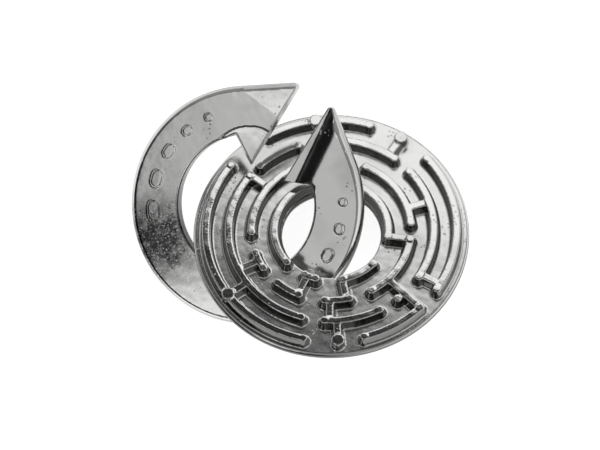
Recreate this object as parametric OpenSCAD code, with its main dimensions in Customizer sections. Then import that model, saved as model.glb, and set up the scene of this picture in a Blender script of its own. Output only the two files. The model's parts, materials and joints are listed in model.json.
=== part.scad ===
// Take-apart puzzle of two castings: a disc with a raised maze on each face, linked by a slotted flat ring.
// The linked pair lies on a table: +Z up, origin on the table under the middle of the outline.
// The ring's centre lies on the disc's middle plane, and the ring leans about the line of the two centres.

/* [Disc] */
// Diameter of the disc
disc_d = 46; // [43:0.5:50]
// Diameter of the hole that the ring runs through
hole_d = 16.5; // [15.5:0.5:18]
// Thickness of the plate between the two mazes
plate_t = 1.2; // [0.8:0.1:1.6]
// Radius that rounds the plate's rim
rim_round = 0.5; // [0.2:0.05:0.7]

/* [Maze walls] */
// Height of a wall above the plate
wall_h = 1.7; // [1.2:0.1:2]
// Width of a wall along its top
wall_top_w = 1.2; // [0.9:0.1:1.5]
// How far each side of a wall leans out at its foot
wall_draft = 0.4; // [0.2:0.05:0.6]
// Extra radius of the round post at a wall's end
post_swell = 0.08; // [0.04:0.02:0.2]
// Bare land between the hole and the innermost wall
hole_land = 0.25; // [0.1:0.05:0.5]
// Bare land between the outermost wall and the rim
rim_land = 1.1; // [0.7:0.1:1.5]
// Diameter of a stud on a wall
stud_d = 2.2; // [1.6:0.1:2.6]
// Height of a stud above its wall
stud_h = 0.25; // [0.1:0.05:0.3]

/* [Ring] */
// Outer diameter of the ring
ring_od = 39.8; // [38:0.2:42]
// Inner diameter of the ring
ring_id = 23.4; // [22.4:0.2:25]
// Thickness of the ring
ring_t = 3.2; // [2.6:0.1:3.6]
// Radius that rounds the ring's outer edges
edge_round = 1.4; // [0.8:0.1:1.4]
// Angle between the flat face and the start of that rounding
edge_break = 25; // [20:1:35]
// Bevel on the ring's inner edges
inner_bevel = 0.3; // [0.1:0.05:0.5]

/* [Slot and ends] */
// Width of the slot
slot_w = 6.2; // [5.6:0.1:7.2]
// Angle from the slot's axis at which the outer edge runs straight on
flare_angle = 36; // [30:1:42]
// Distance from the ring's centre to the tip of the head's inner barb, along the slot
head_barb_y = 5.9; // [5.6:0.1:7]
// Distance from the ring's centre to the tip of the tail's inner barb, along the slot
tail_barb_y = 6.7; // [5.7:0.1:8]
// Angle from the slot's axis at which a barb leaves the ring's inner circle
barb_angle = 41; // [38:1:43]
// Distance from the ring's centre to the foot of the outer facet, along the slot
facet_y = 15.6; // [14.5:0.1:16.5]
// How far the outer facet falls away at the tip
facet_drop = 0.5; // [0.3:0.1:1]
// Width of the bevel between the outer facet and the outer edge
facet_rim = 0.75; // [0.7:0.05:1]
// Radius of the dished facet round a barb
dish_r = 7.2; // [5.5:0.1:8]
// How deep the dished facet is at its middle, just off the barb's tip
dish_drop = 1.25; // [1:0.05:1.4]
// How deep the shallower dish on the lower face of the head's barb is
under_drop = 0.6; // [0.5:0.05:0.9]
// Depth of the step round the dished facet
dish_step = 0.12; // [0.06:0.02:0.3]
// Width of the bevel between the dished facet and the barb's inner edge
barb_rim = 0.35; // [0.2:0.05:0.5]
// Width of the tail's rounded ramp and its ledge, at the outer tip
ramp_l = 3.2; // [2.2:0.1:4]
// Radius of that ramp
ramp_r = 11; // [7:0.5:12]
// Angle at which the ramp leaves the flat face
ramp_start = 8; // [3:1:10]
// Turn of the ramp away from the slot, towards the barb
ramp_turn = 6; // [2:1:10]
// Width of the narrow ledge between the ramp and the slot, at the outer tip
ledge_w = 0.4; // [0.2:0.1:1]
// Slope of that ledge
ledge_slope = 2; // [1:1:15]
// Radius that rounds the outer tips
tip_round = 0.7; // [0.3:0.1:1]

/* [Bosses on the ring] */
// Number of bosses on each side of the slot
boss_n = 5; // [2:1:6]
// Radius of the circle that the bosses lie on
boss_circle_r = 15.9; // [15.4:0.1:16.4]
// How much further out the first boss on the tail lies; the later ones come in step by step
tail_boss_out = 0.8; // [0:0.1:1]
// Angle from the slot's axis to the first boss
boss_first = 55.5; // [52:0.5:60]
// Angle from the first boss to the second
boss_step = 15.6; // [13:0.2:17]
// How much wider each later step is than the one before
boss_spread = 1.4; // [0:0.2:2]
// Length of the last and longest boss
boss_l = 3.4; // [2.6:0.1:3.8]
// Width of the last boss
boss_w = 1.9; // [1.4:0.1:2.2]
// Length and width of the first boss
boss_first_w = 1.2; // [0.8:0.1:1.4]
// Height of a boss above the ring's face
boss_h = 0.35; // [0.15:0.05:0.5]

/* [Rest pose] */
// Gap between the ring and the walls that it lies against
link_clear = 0.3; // [0.2:0.05:0.8]
// How far the ring's band is pulled out of the hole's middle, towards the ring's centre
band_shift = 0.6; // [0:0.1:1]
// Turn of the disc about its own axis
maze_turn = 25.6; // [-180:0.2:180]
// Turn of the slot about the ring's axis, from the line of the two centres
slot_turn = 77.3; // [70:0.1:88]
// Roll of the pair about the line where it touches the table
rest_roll = 2.2; // [-6:0.1:6]

/* [Hidden] */
$fn = 96;
arc_steps = 6;
cut = 0.02;
sink = 0.25;

// Disc sizes
disc_r = disc_d / 2;
hole_r = hole_d / 2;
plate_z = plate_t / 2;
top_z = plate_z + wall_h;
post_rise = 0.03;
cross_fall = 0.05;
post_z = top_z + post_rise;
cross_z = top_z - cross_fall;
wall_top = wall_top_w / 2;
wall_foot = wall_top + wall_draft;
wall_root = wall_foot + wall_draft * sink / wall_h;
wall_rows = 4;
row_first = hole_r + hole_land + wall_foot;
row_last = disc_r - rim_land - wall_foot;
row_pitch = (row_last - row_first) / (wall_rows - 1);

// Maze: walls along each row as start and end angles, from the innermost row out
row_arcs = [
  [[100, 217], [240, 252], [279, 315], [350, 418]],
  [[104, 179], [196, 210], [226, 244], [263, 281], [298, 350], [3, 62]],
  [[50, 80], [107, 132], [140, 251], [264, 296], [326, 398]],
  [[70, 118], [141, 255], [283, 313], [325, 398]]
];
// Maze: walls across the rows as angle, first row and last row
cross_walls = [
  [15.5, 1, 2], [54, 2, 3], [140, 1, 2], [203, 1, 2], [213, 2, 3], [243, 0, 1],
  [267, 1, 2], [271, 2, 3], [279, 0, 1], [313, 1, 3], [328, 2, 3], [350, 0, 1]
];
// Maze: round posts as angle and row
free_posts = [[308, 2]];
// Studs on the upper maze as angle and row
studs = [[54, 3], [95, 3], [213, 3], [271, 3]];
// The maze of the lower face is the same maze, turned over about this line
turn_over_angle = 126.5;

// Ring sizes
ring_r = ring_od / 2;
ring_in_r = ring_id / 2;
ring_z = ring_t / 2;
band_w = ring_r - ring_in_r;
slot_half = slot_w / 2;
tip_y = (ring_r - slot_half * sin(flare_angle)) / cos(flare_angle);
edge_r = ring_r - edge_round;
edge_z = ring_z - edge_round * cos(edge_break);
boss_sink = 0.3;
dish_off = 0.4;
rim_slope = 45;
band_lap = 2;

// Rest pose: how far the ring leans to lie clear of the innermost walls on both faces
centre_gap = ring_in_r + band_w / 2 - band_shift;
row_first_edge = row_first - wall_top;
crossing_x = (pow(centre_gap, 2) + pow(row_first_edge, 2) - pow(ring_in_r, 2)) / (2 * centre_gap);
hole_chord = sqrt(pow(row_first_edge, 2) - pow(crossing_x, 2));
hole_diagonal = sqrt(pow(hole_chord, 2) + pow(top_z, 2));
lean = atan(top_z / hole_chord) + asin((ring_z + link_clear) / hole_diagonal);

// Rest pose: how far a circle, and then each piece, reaches in direction e, before the turn onto the table
function about_x(v, a) = [v[0], v[1] * cos(a) - v[2] * sin(a), v[1] * sin(a) + v[2] * cos(a)];
function about_y(v, a) = [v[0] * cos(a) + v[2] * sin(a), v[1], v[2] * cos(a) - v[0] * sin(a)];
function reach(centre, axis, r, e) = centre * e + r * sqrt(1 - pow(axis * e, 2));
up = [0, 0, 1];
leaned = about_x(up, lean);
ring_middle = [-centre_gap, 0, 0];
function disc_reach(e) = max([for (s = [-1, 1]) max(
  reach(s * (plate_z - rim_round) * up, up, disc_r - rim_round, e) + rim_round,
  reach(s * top_z * up, up, row_last + wall_top, e))]);
function ring_reach(e) = max([for (s = [-1, 1]) abs(leaned * e) > cos(edge_break)
  ? reach(ring_middle + s * ring_z * leaned, leaned, edge_r + edge_round * sin(edge_break), e)
  : reach(ring_middle + s * edge_z * leaned, leaned, edge_r, e) + edge_round]);

// Rest pose: slope at which the disc and the ring both touch the table
function from_table(v, slope) = about_x(about_y(v, -rest_roll), slope);
function drop_gap(slope) = disc_reach(from_table(-up, slope)) - ring_reach(from_table(-up, slope));
function level_slope(low, high, steps) = let (middle = (low + high) / 2)
  steps == 0 ? middle
  : drop_gap(middle) > 0 ? level_slope(low, middle, steps - 1)
  : level_slope(middle, high, steps - 1);
table_slope = level_slope(0, 45, 40);

// Rest pose: shift that puts the origin on the table under the middle of the outline
function pair_reach(v) = let (e = from_table(v, table_slope)) max(disc_reach(e), ring_reach(e));
to_origin = [
  (pair_reach([-1, 0, 0]) - pair_reach([1, 0, 0])) / 2,
  (pair_reach([0, -1, 0]) - pair_reach([0, 1, 0])) / 2,
  pair_reach(-up)
];
function onto_table(v) = about_y(about_x(v, -table_slope), rest_roll);
echo(lean = lean, table_slope = table_slope, disc_axis = onto_table(up), disc_centre = to_origin);
echo(ring_axis = onto_table(leaned), ring_centre = onto_table(ring_middle) + to_origin);

// Places its children, modelled on the disc's axis, in the rest pose
module in_rest_pose() {
  translate(to_origin) rotate([0, rest_roll, 0]) rotate([-table_slope, 0, 0]) children();
}

// Points of a round stretch from angle a0 to a1
function round_points(centre, r, a0, a1) =
  [for (i = [0 : arc_steps]) let (a = a0 + (a1 - a0) * i / arc_steps) centre + r * [cos(a), sin(a)]];

// Disc

function row_r(row) = row_first + row * row_pitch;

// Section across a wall, with its middle on the Y axis
module wall_section(top) {
  polygon([
    [-wall_root, plate_z - sink], [wall_root, plate_z - sink], [wall_top, top], [-wall_top, top]
  ]);
}

// Round post that ends a wall
module post(angle, row) {
  root = wall_root + post_swell;
  tip = wall_top + post_swell;
  rotate(angle) translate([row_r(row), 0])
    rotate_extrude() polygon([[0, plate_z - sink], [root, plate_z - sink], [tip, post_z], [0, post_z]]);
}

module row_wall(row, from, to) {
  rotate(from) rotate_extrude(angle = to - from) translate([row_r(row), 0]) wall_section(top_z);
  post(from, row);
  post(to, row);
}

module cross_wall(angle, from_row, to_row) {
  rotate(angle) translate([row_r(from_row), 0]) rotate([90, 0, 90])
    linear_extrude(row_r(to_row) - row_r(from_row)) wall_section(cross_z);
}

module stud(angle, row) {
  rotate(angle) translate([row_r(row), 0, plate_z - sink]) cylinder(d = stud_d, h = sink + wall_h + stud_h);
}

module maze() {
  for (row = [0 : wall_rows - 1]) for (a = row_arcs[row]) row_wall(row, a[0], a[1]);
  for (c = cross_walls) cross_wall(c[0], c[1], c[2]);
  for (p = free_posts) post(p[0], p[1]);
}

module plate() {
  rotate_extrude() polygon(concat(
    [[hole_r, plate_z], [hole_r, -plate_z]],
    round_points([disc_r - rim_round, rim_round - plate_z], rim_round, -90, 0),
    round_points([disc_r - rim_round, plate_z - rim_round], rim_round, 0, 90)
  ));
}

module maze_disc() {
  color("silver") in_rest_pose() rotate(maze_turn) {
    plate();
    maze();
    for (s = studs) stud(s[0], s[1]);
    rotate(turn_over_angle) rotate([180, 0, 0]) rotate(-turn_over_angle) maze();
  }
}

// Ring

// Section across the ring's band, with the ring's axis on the Y axis
module band_section() {
  polygon(concat(
    [[ring_in_r, ring_z - inner_bevel], [ring_in_r, inner_bevel - ring_z]],
    [[ring_in_r + inner_bevel, -ring_z]],
    round_points([edge_r, -edge_z], edge_round, edge_break - 90, 0),
    round_points([edge_r, edge_z], edge_round, 0, 90 - edge_break),
    [[ring_in_r + inner_bevel, ring_z]]
  ));
}

// Straight end of the band, up to the slot's middle, with its inner barb; the slot's axis is +Y
module ring_end(barb_y) {
  rotate(90 + flare_angle) rotate([90, 0, 0]) linear_extrude(ring_r * tan(flare_angle)) band_section();
  foot = ring_in_r + band_w / 2;
  translate([0, 0, -ring_z]) linear_extrude(ring_t) polygon([
    ring_in_r * [-sin(barb_angle), cos(barb_angle)], [-slot_half, barb_y], [0, barb_y],
    [0, foot], foot * [-sin(barb_angle), cos(barb_angle)]
  ]);
}

module ring_blank() {
  band_start = flare_angle - band_lap;
  rotate(90 + band_start) rotate_extrude(angle = 360 - 2 * band_start) band_section();
  ring_end(head_barb_y);
  rotate([0, 180, 0]) ring_end(tail_barb_y);
}

// Flat facet that falls away to the outer tip, with a bevel along the outer edge
module outer_facet() {
  start = (ring_r - cut) * [-sin(flare_angle), cos(flare_angle)];
  run = [-slot_half, facet_y] - start;
  ridge_angle = atan2(run[1], run[0]);
  tip_run = [-slot_half, tip_y] - start;
  tip_distance = tip_run * [-sin(ridge_angle), cos(ridge_angle)];
  fall = atan(facet_drop / tip_distance);
  translate([start[0], start[1], ring_z]) rotate(ridge_angle) rotate([-fall, 0, 0]) {
    cube([norm(run) + slot_half, ring_r, ring_t]);
    rotate(flare_angle - ridge_angle) translate([facet_rim, -facet_rim, 0]) rotate([-rim_slope, 0, 0])
      cube([ring_r, ring_t, ring_t]);
  }
}

// Dished facet with a low step round it; its middle lies in the slot, just off the barb's tip
module barb_dish(barb_y, drop) {
  intersection() {
    translate([dish_off - slot_half, barb_y - dish_off, ring_z]) rotate_extrude()
      polygon([[0, -drop], [dish_r, -dish_step], [dish_r, ring_t], [0, ring_t]]);
    translate([-ring_r, 0, -ring_z]) cube([ring_r, ring_r, 2 * ring_t]);
  }
}

// Bevel along the barb's inner edge, from the ring's inner circle to the tip
module barb_bevel(barb_y) {
  middle = [dish_off - slot_half, barb_y - dish_off];
  root = ring_in_r * [-sin(barb_angle), cos(barb_angle)];
  run = [-slot_half, barb_y] - root;
  cone_slope = (dish_drop - dish_step) / dish_r;
  root_depth = dish_drop - cone_slope * norm(root - middle);
  tip_depth = dish_drop - cone_slope * norm(root + run - middle);
  translate([root[0], root[1], ring_z - root_depth]) rotate(atan2(run[1], run[0]))
    rotate([0, atan((tip_depth - root_depth) / norm(run)), 0]) translate([-barb_rim, barb_rim, 0])
      rotate([rim_slope, 0, 0]) translate([0, -ring_t, 0]) cube([2 * norm(run), ring_t, ring_t]);
}

// Rounded ramp and narrow ledge that thin the tail, drawn on the lower face of the end at -X
module end_ramp() {
  ramp_x = -slot_half - ramp_l;
  ledge_x = -slot_half - ledge_w;
  axis_x = ramp_x - ramp_r * sin(ramp_start);
  axis_z = ramp_r * cos(ramp_start) - ring_z;
  ledge_z = axis_z - sqrt(pow(ramp_r, 2) - pow(ledge_x - axis_x, 2));
  below = -2 * ring_t;
  rise = (slot_half - ledge_x) * tan(ledge_slope);
  translate([-slot_half, tip_y]) rotate(-ramp_turn) translate([slot_half, -tip_y]) {
    difference() {
      translate([ramp_x, 0, below]) cube([ramp_l - ledge_w, 2 * ring_r, axis_z - below]);
      translate([axis_x, -cut, axis_z]) rotate([-90, 0, 0]) cylinder(r = ramp_r, h = 3 * ring_r);
    }
    translate([0, 2 * ring_r, 0]) rotate([90, 0, 0]) linear_extrude(2 * ring_r) polygon([
      [ledge_x - cut, below], [slot_half, below], [slot_half, ledge_z + rise], [ledge_x, ledge_z]
    ]);
  }
}

// Sharp corner outside the rounding of the outer tip
module tip_corner() {
  arm = tip_round * tan(45 + flare_angle / 2);
  centre = [-slot_half - tip_round, tip_y - arm];
  translate([0, 0, -ring_t]) difference() {
    linear_extrude(2 * ring_t) polygon([
      centre, centre + [2 * tip_round, 0], [tip_round - slot_half, tip_y + tip_round],
      centre + 2 * tip_round * [-sin(flare_angle), cos(flare_angle)]
    ]);
    translate([centre[0], centre[1], -cut]) cylinder(r = tip_round, h = 3 * ring_t);
  }
}

// Cuts on the end at -X: facets on its upper face and the rounded tip
module end_cuts(barb_y) {
  outer_facet();
  barb_dish(barb_y, dish_drop);
  barb_bevel(barb_y);
  tip_corner();
}

// Oval boss, longest along the ring
module boss(length, width) {
  base = ring_z - boss_sink;
  straight = max(length - width, cut);
  translate([-straight / 2, -width / 2, base]) cube([straight, width, boss_sink + boss_h]);
  for (s = [-1, 1]) translate([s * straight / 2, 0, base]) cylinder(d = width, h = boss_sink + boss_h);
}

module bosses() {
  for (i = [0 : boss_n - 1]) {
    share = i / (boss_n - 1);
    width = boss_first_w + (boss_w - boss_first_w) * share;
    length = boss_first_w + (boss_l - boss_first_w) * share;
    angle = boss_first + i * boss_step + boss_spread * i * (i - 1) / 2;
    rotate(angle) translate([0, boss_circle_r]) boss(length, width);
    rotate(-angle) translate([0, boss_circle_r + tail_boss_out * (1 - share)]) boss(length, width);
  }
}

module open_ring() {
  color("gainsboro") in_rest_pose() translate(ring_middle) rotate([lean, 0, 0]) rotate(slot_turn - 90) {
    difference() {
      ring_blank();
      translate([-slot_half, 0, -ring_t]) cube([slot_w, 2 * ring_r, 2 * ring_t]);
      end_cuts(head_barb_y);
      mirror([0, 0, 1]) barb_dish(head_barb_y, under_drop);
      rotate([0, 180, 0]) end_cuts(tail_barb_y);
      rotate([0, 180, 0]) end_ramp();
    }
    bosses();
  }
}

maze_disc();
open_ring();
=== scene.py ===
import json
import math

import bpy
from mathutils import Matrix, Vector


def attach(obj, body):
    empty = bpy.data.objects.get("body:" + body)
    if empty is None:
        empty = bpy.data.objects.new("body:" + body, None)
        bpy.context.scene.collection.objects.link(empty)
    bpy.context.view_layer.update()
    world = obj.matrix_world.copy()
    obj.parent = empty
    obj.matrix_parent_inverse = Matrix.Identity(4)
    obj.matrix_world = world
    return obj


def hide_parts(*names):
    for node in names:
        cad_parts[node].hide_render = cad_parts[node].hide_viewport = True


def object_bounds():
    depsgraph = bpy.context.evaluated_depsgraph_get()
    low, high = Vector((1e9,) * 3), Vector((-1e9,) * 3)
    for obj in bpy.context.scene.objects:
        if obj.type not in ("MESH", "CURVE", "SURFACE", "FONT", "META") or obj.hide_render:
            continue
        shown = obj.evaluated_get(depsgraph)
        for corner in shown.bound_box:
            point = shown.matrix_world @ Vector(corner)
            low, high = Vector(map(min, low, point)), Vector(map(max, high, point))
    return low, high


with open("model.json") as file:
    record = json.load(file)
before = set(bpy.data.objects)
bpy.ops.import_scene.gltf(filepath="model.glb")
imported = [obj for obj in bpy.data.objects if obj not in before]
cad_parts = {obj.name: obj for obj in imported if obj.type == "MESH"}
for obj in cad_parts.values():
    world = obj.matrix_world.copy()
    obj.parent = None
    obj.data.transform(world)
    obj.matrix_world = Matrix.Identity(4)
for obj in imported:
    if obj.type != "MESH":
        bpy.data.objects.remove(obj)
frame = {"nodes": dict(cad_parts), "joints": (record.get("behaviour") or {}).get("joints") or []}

scene = bpy.context.scene
cad_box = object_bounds()
MM = 0.001

# The photograph: its size in pixels, the camera's angles in degrees, its scale and the disc's centre in it
IMAGE_W = 600
IMAGE_H = 450
VIEW_AZIMUTH = 49.66
VIEW_ELEVATION = 71.42
VIEW_ROLL = -28.1
PIXELS_PER_MM = 6.0
CENTRE_PIXEL = (331.4, 235.8)

# Places in the photograph, in pixels
FOLD_TOP_PIXEL = (331, 128)
FOLD_FOOT_PIXEL = (312, 182)
RING_DARK_PATCH_PIXEL = (160, 240)
LEFT_WALLS_PIXEL = (222, 215)
RIGHT_RIM_PIXEL = (452, 225)
FACET_PIXEL = (285, 103)
BARB_PIXEL = (245, 150)

# Camera's distance and clipping in metres, and its sensor in millimetres
DISTANCE = 2.0
CLIP_NEAR = 0.01
CLIP_FAR = 20
SENSOR = 36.0

# Middle planes of the two pieces at rest, and half of the height over each piece's flat tops
DISC_HALF_MM = 2.3
RING_HALF_MM = 1.6
RING_MIDDLE_MM = (-9.14, 0.0, 8.05)
RING_NORMAL = (0.0361, -0.3412, 0.9393)
disc_joint = frame["joints"][0]
disc_centre = Vector(disc_joint["pos_m"])
disc_axis = Vector(disc_joint["axis"]).normalized()
disc_top = disc_centre + disc_axis * DISC_HALF_MM * MM
ring_axis = Vector(RING_NORMAL).normalized()
ring_top = Vector(RING_MIDDLE_MM) * MM + ring_axis * RING_HALF_MM * MM

# Rounding of the castings: size of the skin's cells, smoothing rounds, and reach of the softened fold
DISC_VOXEL = 0.12 * MM
RING_VOXEL = 0.13 * MM
SMOOTH_FACTOR = 0.5
CASTING_ROUNDS = 3
FOLD_ROUNDS = 120
FOLD_NEAR_MM = 0.7
FOLD_FAR_MM = 1.6

# Colours of the metal on flat faces and where it is tarnished, the painted shade that darkens the faces that
# stand up, and the colour of a dark speckled patch
DISC_COLOURS_AND_SIDE_SHADE = ((0.80, 0.80, 0.79), (0.66, 0.66, 0.65), (0.20, 0.20, 0.195))
RING_COLOURS_AND_SIDE_SHADE = ((0.78, 0.78, 0.77), (0.64, 0.64, 0.63), (0.42, 0.42, 0.41))
DARK_PATCH_COLOUR = (0.07, 0.07, 0.07)

# Least roughness of each piece, what its lower floor adds to it, and how far it varies
DISC_ROUGH = 0.09
DISC_FLOOR_ROUGH = 0.09
RING_ROUGH = 0.13
RING_FLOOR_ROUGH = 0.0
ROUGH_SPREAD = 0.04

# Radii of the marked places, in millimetres
RING_DARK_PATCH_RADIUS = 11.0
LEFT_WALLS_RADIUS = 9.0
RIGHT_RIM_RADIUS = 6.0

# Noises of the metal: scale per millimetre, detail and roughness
TARNISH_NOISE = (0.12, 2.0, 0.5)
FINE_NOISE = (2.5, 3.0, 0.6)
BLOTCH_NOISE = (0.5, 4.0, 0.6)
SPECK_NOISE = (3.0, 2.0, 0.6)
PATCH_NOISE = (0.3, 2.0, 0.5)
WAVE_NOISE = (0.45, 1.0, 0.5)

# Levels between which each noise takes effect, and the range that some of them are spread over
TARNISH_LEVELS = (0.45, 0.75)
FINE_LEVELS = (0.3, 0.75)
BLOTCH_LEVELS = (0.3, 0.7)
BLOTCH_RANGE = (0.8, 1.5)
SPECK_LEVELS = (0.55, 0.7)
SPECK_RANGE = (1.0, 0.2)
PATCH_LEVELS = (0.58, 0.70)

# Cosines between which a face goes from standing up to flat, and heights that part the floor from the tops
UPRIGHT_LEVELS = (0.4, 0.85)
FLOOR_LEVELS_MM = (-1.3, -0.5)

# Pits, waves and grain: pits per millimetre, the radii of a pit as shares of its cell, what a rough spot
# adds to the patches, and heights as shares of the bump's own height
PIT_SCALE = 1.5
PIT_LEVELS = (0.1, 0.28)
PIT_DEPTH = 3.0
ROUGH_SPOT = 0.25
WAVE_HEIGHT = 2.0
GRAIN_HEIGHT = 0.03
BUMP_HEIGHT = 0.03 * MM
BUMP_STRENGTH = 0.6

# Floor: half of its side in metres, its gap below the part, its white, and the reach of the painted shadow
# that darkens it in reflections
FLOOR_HALF = 4.0
FLOOR_GAP = 0.02 * MM
FLOOR_WHITE = 0.85
FLOOR_GLOW = 0.85
SHADE_REACH = 20 * MM
SHADE_SAMPLES = 8
SHADE_LEVELS = (0.15, 0.7)
SHADE_RANGE = (0.1, 1.0)

# Tilts in degrees of the ring's facet, dish and ramp from its flat face, and which way each leans, as shares
# of right and up in the picture
FACET_TILT = 4.3
FACET_LEAN = (0.5, 0.87)
DISH_TILT = 9
DISH_LEAN = (0.0, -1.0)
RAMP_TILT = 14
RAMP_LEAN = (-1.0, 0.3)

# World: brightness overhead and nearest to the camera, levels of the horizon's edge, its lift on the right
OVERHEAD = 0.28
FRONT_SHADE = 0.08
HORIZON_LEVELS = (0.12, 0.38)
LIFT_LEVELS = (0.2, 0.8)
LIFT = 0.3
FRONT_LEVELS = (-0.5, 0.1)
RIGHT_SHARE = 1.2

# Dark cards: inner and outer edge in degrees, and shade
DISC_CARD = (10, 24, 0.09)
RAMP_CARD = (9, 21, 0.05)


# Helpers for nodes
def link(tree, a, b):
    tree.links.new(a, b)


def math_node(tree, kind, a, b=None, clamp=False):
    node = tree.nodes.new("ShaderNodeMath")
    node.operation = kind
    node.use_clamp = clamp
    for socket, value in zip(node.inputs, (a, b)):
        if value is None:
            continue
        if isinstance(value, (int, float)):
            socket.default_value = value
        else:
            link(tree, value, socket)
    return node.outputs[0]


def vector_node(tree, kind, vector, fixed):
    node = tree.nodes.new("ShaderNodeVectorMath")
    node.operation = kind
    node.inputs[1].default_value = fixed
    link(tree, vector, node.inputs[0])
    return node.outputs["Value"]


def noise_node(tree, where, scale, detail, rough):
    node = tree.nodes.new("ShaderNodeTexNoise")
    node.inputs["Scale"].default_value = scale
    node.inputs["Detail"].default_value = detail
    node.inputs["Roughness"].default_value = rough
    link(tree, where, node.inputs["Vector"])
    return node.outputs["Fac"]


def step_node(tree, value, low, high, to_low=0.0, to_high=1.0):
    node = tree.nodes.new("ShaderNodeMapRange")
    node.interpolation_type = "SMOOTHSTEP"
    node.inputs["From Min"].default_value = low
    node.inputs["From Max"].default_value = high
    node.inputs["To Min"].default_value = to_low
    node.inputs["To Max"].default_value = to_high
    link(tree, value, node.inputs["Value"])
    return node.outputs["Result"]


def mix_colours(tree, factor, a, b):
    node = tree.nodes.new("ShaderNodeMix")
    node.data_type = "RGBA"
    for name, value in (("A", a), ("B", b)):
        socket = [s for s in node.inputs if s.name == name and s.type == "RGBA"][0]
        if isinstance(value, tuple):
            socket.default_value = (*value, 1)
        else:
            link(tree, value, socket)
    link(tree, factor, node.inputs["Factor"])
    return [s for s in node.outputs if s.type == "RGBA"][0]


# Camera at the photograph's angle
def view_basis(azimuth, elevation, roll):
    a = math.radians(azimuth)
    e = math.radians(elevation)
    towards = Vector((math.sin(a) * math.cos(e), -math.cos(a) * math.cos(e), math.sin(e)))
    right = Vector((math.cos(a), math.sin(a), 0))
    up = towards.cross(right)
    turn = Matrix.Rotation(math.radians(roll), 3, towards)
    return turn @ right, turn @ up, towards


view_right, view_up, view_towards = view_basis(VIEW_AZIMUTH, VIEW_ELEVATION, VIEW_ROLL)


# Point of the plane through the disc's centre that faces the camera, at a pixel of the photograph
def behind_pixel(pixel):
    point = disc_centre + view_right * ((pixel[0] - CENTRE_PIXEL[0]) / PIXELS_PER_MM * MM)
    point -= view_up * ((pixel[1] - CENTRE_PIXEL[1]) / PIXELS_PER_MM * MM)
    return point


# Point of a flat face that shows at a pixel of the photograph
def seen_at(pixel, face_point, normal):
    start = behind_pixel(pixel)
    return start + view_towards * ((face_point - start).dot(normal) / view_towards.dot(normal))


camera_data = bpy.data.cameras.new("camera")
camera_data.sensor_width = SENSOR
camera_data.lens = PIXELS_PER_MM / MM * DISTANCE * SENSOR / IMAGE_W
camera_data.clip_start = CLIP_NEAR
camera_data.clip_end = CLIP_FAR
camera = bpy.data.objects.new("camera", camera_data)
scene.collection.objects.link(camera)
aim = behind_pixel((IMAGE_W / 2, IMAGE_H / 2))
camera_turn = Matrix((view_right, view_up, view_towards)).transposed().to_4x4()
camera.matrix_world = Matrix.Translation(aim + view_towards * DISTANCE) @ camera_turn
scene.camera = camera


# Adds smoothing to a piece, or only to the points of one of its vertex groups
def add_smoothing(piece, rounds, group=""):
    smoothing = piece.modifiers.new("smoothing", "SMOOTH")
    smoothing.factor = SMOOTH_FACTOR
    smoothing.iterations = rounds
    smoothing.vertex_group = group


# Gives a piece the mesh that its modifiers make
def apply_modifiers(piece):
    bpy.context.view_layer.update()
    graph = bpy.context.evaluated_depsgraph_get()
    mesh = bpy.data.meshes.new_from_object(piece.evaluated_get(graph))
    piece.modifiers.clear()
    piece.data = mesh
    mesh.name = piece.name


# Cast pieces: each solid with its edges and inside corners rounded as in a plated casting
def casting(node, name, body, voxel):
    piece = bpy.data.objects.new(name, frame["nodes"][node].data.copy())
    scene.collection.objects.link(piece)
    skin = piece.modifiers.new("skin", "REMESH")
    skin.mode = "VOXEL"
    skin.voxel_size = voxel
    add_smoothing(piece, CASTING_ROUNDS)
    apply_modifiers(piece)
    piece.data.shade_smooth()
    piece.data.materials.clear()
    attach(piece, body)
    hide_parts(node)
    return piece


# Rounds a fold between two faces: points near its line are smoothed, less so from near to far
def soften_fold(piece, start, end):
    group = piece.vertex_groups.new(name="fold")
    run = end - start
    for vertex in piece.data.vertices:
        along = (vertex.co - start).dot(run) / run.length_squared
        gap = (vertex.co - start - run * min(max(along, 0.0), 1.0)).length / MM
        weight = (FOLD_FAR_MM - gap) / (FOLD_FAR_MM - FOLD_NEAR_MM)
        if weight > 0:
            group.add([vertex.index], min(weight, 1.0), "REPLACE")
    add_smoothing(piece, FOLD_ROUNDS, group.name)
    apply_modifiers(piece)
    piece.vertex_groups.clear()


disc = casting("maze_disc", "disc_casting", "disc", DISC_VOXEL)
ring = casting("open_ring", "ring_casting", "ring", RING_VOXEL)
fold_top = seen_at(FOLD_TOP_PIXEL, ring_top, ring_axis)
fold_foot = seen_at(FOLD_FOOT_PIXEL, ring_top, ring_axis)
soften_fold(ring, fold_top, fold_foot)


# How near a place is to a point, from 1 at the point to 0 at the radius in millimetres
def near_point(tree, where, point, radius):
    gap = vector_node(tree, "DISTANCE", where, point / MM)
    return step_node(tree, gap, 0.0, radius, 1.0, 0.0)


# 1 for a place near the height of a flat face or over it, 0 for one down on the floor between walls
def near_tops(tree, where, face_point, normal):
    height = vector_node(tree, "DOT_PRODUCT", where, normal)
    level = face_point.dot(normal) / MM
    low, high = FLOOR_LEVELS_MM
    return step_node(tree, height, level + low, level + high)


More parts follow.
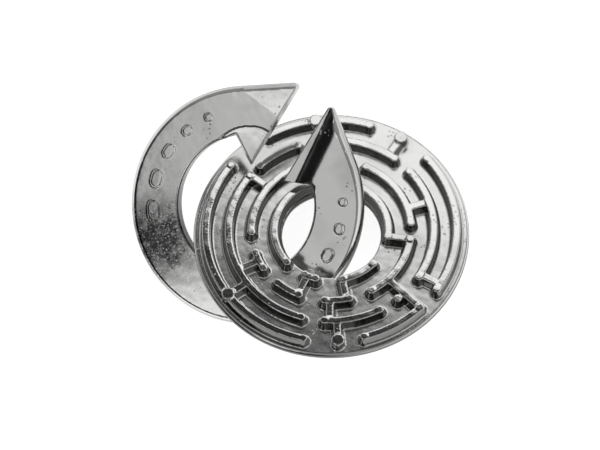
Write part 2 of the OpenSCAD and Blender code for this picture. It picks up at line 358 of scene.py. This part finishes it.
# Colour: pale metal with dull tarnish, painted shade that darkens the faces that stand up, and speckled dark
# patches
def metal_colour(tree, where, colours_and_side_shade, upright, dark_patches):
    pale, dull, painted_side_shade = colours_and_side_shade
    tarnish = step_node(tree, noise_node(tree, where, *TARNISH_NOISE), *TARNISH_LEVELS)
    colour = mix_colours(tree, tarnish, pale, dull)
    # Painted shade: faces that stand up are mixed towards the dark side colour
    colour = mix_colours(tree, upright, colour, painted_side_shade)
    # Darker in a speckled patch around each given point
    for point, radius in dark_patches:
        blotch = step_node(tree, noise_node(tree, where, *BLOTCH_NOISE), *BLOTCH_LEVELS, *BLOTCH_RANGE)
        speck = step_node(tree, noise_node(tree, where, *SPECK_NOISE), *SPECK_LEVELS, *SPECK_RANGE)
        dark = math_node(tree, "MULTIPLY", near_point(tree, where, point, radius), blotch, True)
        colour = mix_colours(tree, math_node(tree, "MULTIPLY", dark, speck), colour, DARK_PATCH_COLOUR)
    return colour


# Relief: pits in patches and at the rough spots, with low waves and a fine grain over all of the metal
def metal_relief(tree, where, fine, rough_spots):
    pits = tree.nodes.new("ShaderNodeTexVoronoi")
    pits.inputs["Scale"].default_value = PIT_SCALE
    link(tree, where, pits.inputs["Vector"])
    hollow = step_node(tree, pits.outputs["Distance"], *PIT_LEVELS, -1.0, 0.0)
    patch = noise_node(tree, where, *PATCH_NOISE)
    for point, radius in rough_spots:
        spot = math_node(tree, "MULTIPLY", near_point(tree, where, point, radius), ROUGH_SPOT)
        patch = math_node(tree, "ADD", patch, spot)
    patch = step_node(tree, patch, *PATCH_LEVELS)
    hollow = math_node(tree, "MULTIPLY", hollow, math_node(tree, "MULTIPLY", patch, PIT_DEPTH))
    waves = math_node(tree, "MULTIPLY", noise_node(tree, where, *WAVE_NOISE), WAVE_HEIGHT)
    grain = math_node(tree, "ADD", waves, math_node(tree, "MULTIPLY", fine, GRAIN_HEIGHT))
    bump = tree.nodes.new("ShaderNodeBump")
    bump.inputs["Strength"].default_value = BUMP_STRENGTH
    bump.inputs["Distance"].default_value = BUMP_HEIGHT
    link(tree, math_node(tree, "ADD", hollow, grain), bump.inputs["Height"])
    return bump.outputs["Normal"]


# Plated metal with casting marks; rough_spots and dark_patches are points with radii, of pitted places and
# of places made darker in a speckled patch
def plated(name, colours_and_side_shade, least_rough, floor_rough, face_point, flat_normal, rough_spots, dark_patches):
    material = bpy.data.materials.new(name)
    material.use_nodes = True
    tree = material.node_tree
    shader = tree.nodes["Principled BSDF"]
    place = tree.nodes.new("ShaderNodeTexCoord")
    scaled = tree.nodes.new("ShaderNodeMapping")
    scaled.inputs["Scale"].default_value = (1 / MM, 1 / MM, 1 / MM)
    link(tree, place.outputs["Object"], scaled.inputs["Vector"])
    where = scaled.outputs["Vector"]

    facing = vector_node(tree, "DOT_PRODUCT", place.outputs["Normal"], flat_normal)
    upright = step_node(tree, math_node(tree, "ABSOLUTE", facing), *UPRIGHT_LEVELS, 1.0, 0.0)
    link(tree, metal_colour(tree, where, colours_and_side_shade, upright, dark_patches), shader.inputs["Base Color"])
    shader.inputs["Metallic"].default_value = 1.0

    fine = noise_node(tree, where, *FINE_NOISE)
    rough = step_node(tree, fine, *FINE_LEVELS, least_rough, least_rough + ROUGH_SPREAD)
    upper = near_tops(tree, where, face_point, flat_normal)
    satin = math_node(tree, "SUBTRACT", math_node(tree, "SUBTRACT", 1.0, upper), upright, True)
    rough = math_node(tree, "ADD", rough, math_node(tree, "MULTIPLY", satin, floor_rough))
    link(tree, rough, shader.inputs["Roughness"])
    link(tree, metal_relief(tree, where, fine, rough_spots), shader.inputs["Normal"])
    return material


left_walls = seen_at(LEFT_WALLS_PIXEL, disc_top, disc_axis)
right_rim = seen_at(RIGHT_RIM_PIXEL, disc_top, disc_axis)
disc_marks = [(left_walls, LEFT_WALLS_RADIUS), (right_rim, RIGHT_RIM_RADIUS)]
ring_marks = [(seen_at(RING_DARK_PATCH_PIXEL, ring_top, ring_axis), RING_DARK_PATCH_RADIUS)]
disc_metal = plated("disc_plated", DISC_COLOURS_AND_SIDE_SHADE, DISC_ROUGH, DISC_FLOOR_ROUGH, disc_top, disc_axis,
                    disc_marks, [])
ring_metal = plated("ring_plated", RING_COLOURS_AND_SIDE_SHADE, RING_ROUGH, RING_FLOOR_ROUGH, ring_top, ring_axis,
                    ring_marks, ring_marks)
disc.data.materials.append(disc_metal)
ring.data.materials.append(ring_metal)


# Floor that is white to the camera and keeps the lamps' shadow; reflections see it white too, darkened near
# the object by a painted shadow from ambient occlusion
def floor_material():
    material = bpy.data.materials.new("floor")
    material.use_nodes = True
    tree = material.node_tree
    tree.nodes.clear()
    out = tree.nodes.new("ShaderNodeOutputMaterial")
    matt = tree.nodes.new("ShaderNodeBsdfDiffuse")
    matt.inputs["Color"].default_value = (FLOOR_WHITE, FLOOR_WHITE, FLOOR_WHITE, 1)
    glow = tree.nodes.new("ShaderNodeEmission")
    # Painted shadow: ambient occlusion darkens the floor's glow in reflections near the object
    shade = tree.nodes.new("ShaderNodeAmbientOcclusion")
    shade.samples = SHADE_SAMPLES
    shade.inputs["Distance"].default_value = SHADE_REACH
    open_sky = step_node(tree, shade.outputs["AO"], *SHADE_LEVELS, *SHADE_RANGE)
    path = tree.nodes.new("ShaderNodeLightPath").outputs
    mirrored = math_node(tree, "ADD", path["Is Glossy Ray"], path["Is Transmission Ray"], True)
    mirrored = math_node(tree, "MULTIPLY", mirrored, open_sky)
    seen = math_node(tree, "ADD", path["Is Camera Ray"], mirrored, True)
    link(tree, math_node(tree, "MULTIPLY", seen, FLOOR_GLOW), glow.inputs["Strength"])
    both = tree.nodes.new("ShaderNodeAddShader")
    link(tree, matt.outputs[0], both.inputs[0])
    link(tree, glow.outputs[0], both.inputs[1])
    link(tree, both.outputs[0], out.inputs["Surface"])
    return material


floor_mesh = bpy.data.meshes.new("floor")
corners = [(-FLOOR_HALF, -FLOOR_HALF, 0), (FLOOR_HALF, -FLOOR_HALF, 0),
           (FLOOR_HALF, FLOOR_HALF, 0), (-FLOOR_HALF, FLOOR_HALF, 0)]
floor_mesh.from_pydata(corners, [], [(0, 1, 2, 3)])
floor = bpy.data.objects.new("floor", floor_mesh)
floor.location.z = cad_box[0][2] - FLOOR_GAP
scene.collection.objects.link(floor)
floor_mesh.materials.append(floor_material())


# Direction that a face with this normal mirrors into the camera
def mirrored_view(normal):
    return 2 * normal.dot(view_towards) * normal - view_towards


# Normal of a face that leans away from a flat face by some degrees
def tilted(normal, lean, degrees):
    towards = view_right * lean[0] + view_up * lean[1]
    flat = towards - towards.dot(normal) * normal
    flat.normalize()
    return normal * math.cos(math.radians(degrees)) + flat * math.sin(math.radians(degrees))


# Soft box, in metres, that lies where a flat face of the object mirrors it into the camera
def soft_box(name, target, normal, distance, shift, size, brightness, turn=0.0):
    mirrored = mirrored_view(normal)
    data = bpy.data.lights.new(name, "AREA")
    data.shape = "RECTANGLE"
    data.size = size[0]
    data.size_y = size[1]
    data.energy = brightness * math.pi * size[0] * size[1]
    lamp = bpy.data.objects.new(name, data)
    scene.collection.objects.link(lamp)
    across = view_right - view_right.dot(mirrored) * mirrored
    across.normalize()
    across = Matrix.Rotation(math.radians(turn), 3, mirrored) @ across
    along = mirrored.cross(across)
    lamp_turn = Matrix((across, along, mirrored)).transposed().to_4x4()
    place_at = target + mirrored * distance + across * shift[0] + along * shift[1]
    lamp.matrix_world = Matrix.Translation(place_at) @ lamp_turn
    lamp.visible_camera = False


facet_normal = tilted(ring_axis, FACET_LEAN, FACET_TILT)
dish_normal = tilted(ring_axis, DISH_LEAN, DISH_TILT)
ramp_normal = tilted(ring_axis, RAMP_LEAN, RAMP_TILT)
facet_middle = seen_at(FACET_PIXEL, ring_top, ring_axis)
barb_tip = seen_at(BARB_PIXEL, ring_top, ring_axis)
soft_box("disc_light", disc_centre, disc_axis, distance=0.16, shift=(0.0175, 0.0275),
         size=(0.095, 0.065), brightness=1.05, turn=-22)
soft_box("ring_light", ring_top, ring_axis, distance=0.16, shift=(0.014, 0.005),
         size=(0.072, 0.08), brightness=0.54)
soft_box("facet_light", facet_middle, facet_normal, distance=0.15, shift=(0.0, 0.0),
         size=(0.03, 0.03), brightness=0.41)
soft_box("barb_light", barb_tip, dish_normal, distance=0.15, shift=(0.0, 0.0),
         size=(0.05, 0.04), brightness=0.58)


# Share of the world's light that a dark card leaves, where a face with this normal mirrors it
def dark_card(tree, direction, normal, inner, outer, shade):
    middle = vector_node(tree, "DOT_PRODUCT", direction, mirrored_view(normal))
    edges = [math.cos(math.radians(angle)) for angle in (outer, inner)]
    return step_node(tree, middle, *edges, 1.0, shade)


# World: pale along the horizon, higher on the right, grey overhead, dark on the side nearest to the camera;
# a dark card stands where the disc's flat faces, and one where the tail's ramp, mirror it into the camera
def studio():
    world = bpy.data.worlds.new("studio")
    world.use_nodes = True
    tree = world.node_tree
    background = tree.nodes["Background"]
    background.inputs["Color"].default_value = (1, 1, 1, 1)
    direction = tree.nodes.new("ShaderNodeTexCoord").outputs["Generated"]
    parts = tree.nodes.new("ShaderNodeSeparateXYZ")
    link(tree, direction, parts.inputs[0])
    lift = step_node(tree, parts.outputs["X"], *LIFT_LEVELS, 0.0, LIFT)
    above = math_node(tree, "SUBTRACT", parts.outputs["Z"], lift)
    sky = step_node(tree, above, *HORIZON_LEVELS, 1.0, OVERHEAD)
    to_right = math_node(tree, "MAXIMUM", parts.outputs["X"], 0.0)
    front = math_node(tree, "ADD", parts.outputs["Y"], math_node(tree, "MULTIPLY", to_right, RIGHT_SHARE))
    front = step_node(tree, front, *FRONT_LEVELS, FRONT_SHADE, 1.0)
    disc_card = dark_card(tree, direction, disc_axis, *DISC_CARD)
    ramp_card = dark_card(tree, direction, ramp_normal, *RAMP_CARD)
    for share in (front, disc_card, ramp_card):
        sky = math_node(tree, "MULTIPLY", sky, share)
    link(tree, sky, background.inputs["Strength"])
    return world


scene.world = studio()
scene.view_settings.view_transform = "Standard"
